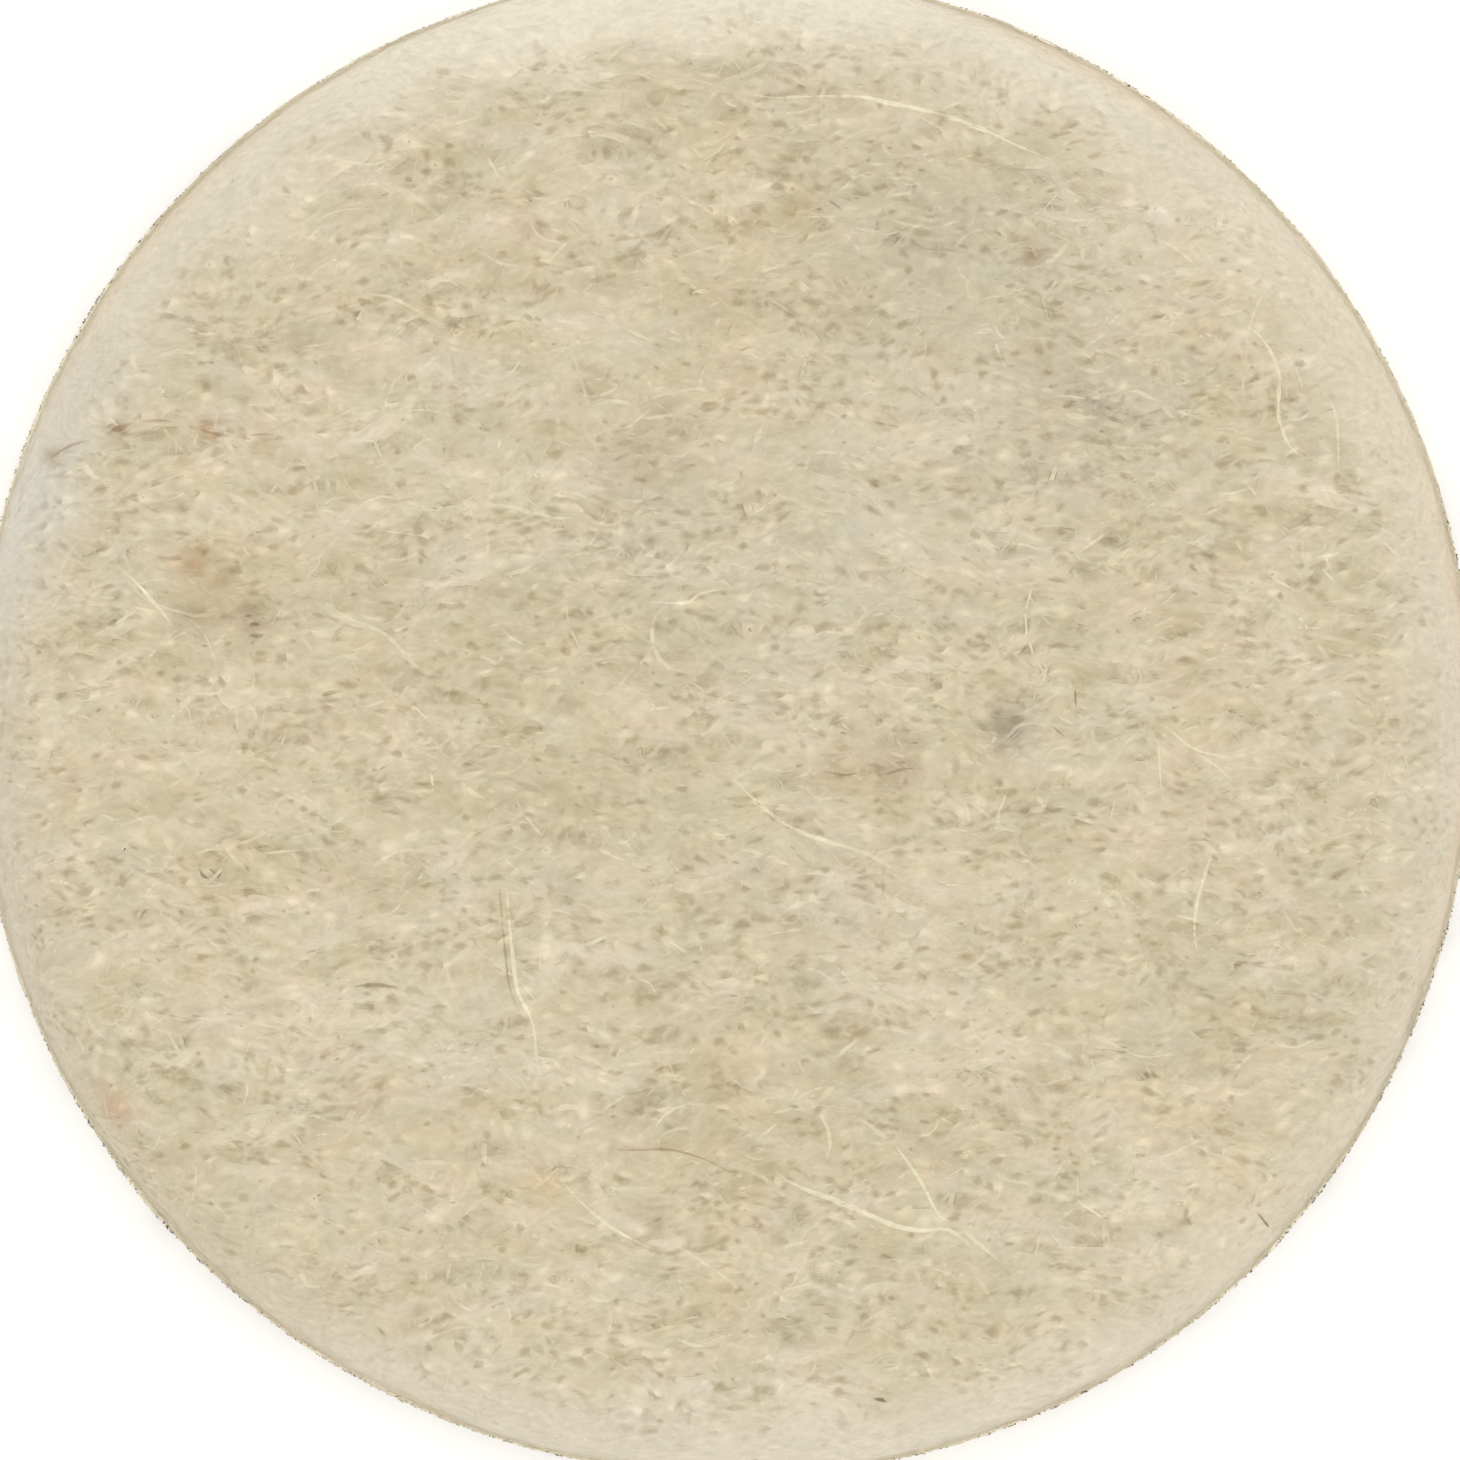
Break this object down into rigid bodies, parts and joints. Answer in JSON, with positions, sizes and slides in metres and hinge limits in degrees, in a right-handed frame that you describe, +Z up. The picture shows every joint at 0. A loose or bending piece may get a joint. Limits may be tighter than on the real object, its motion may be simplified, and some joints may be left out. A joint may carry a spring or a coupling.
{
  "type": "felt furniture pad",
  "caption": "Round die-cut wool felt pad with a soft shoulder, fixed under a furniture foot so that it glides and spares the floor.",
  "frame": {"origin": "under the middle of the pad, on the plane of its underside", "axes": "+Z up through the thickness to the soft glide face that the picture shows, +Y towards the top of the picture, +X to its right"},
  "size_m": [0.0248, 0.025, 0.005],
  "materials": {
    "wool_felt": "matted undyed wool, matt and slightly fuzzy"
  },
  "bodies": {
    "root": {"felt_pad": "wool_felt"}
  },
  "joints": []
}
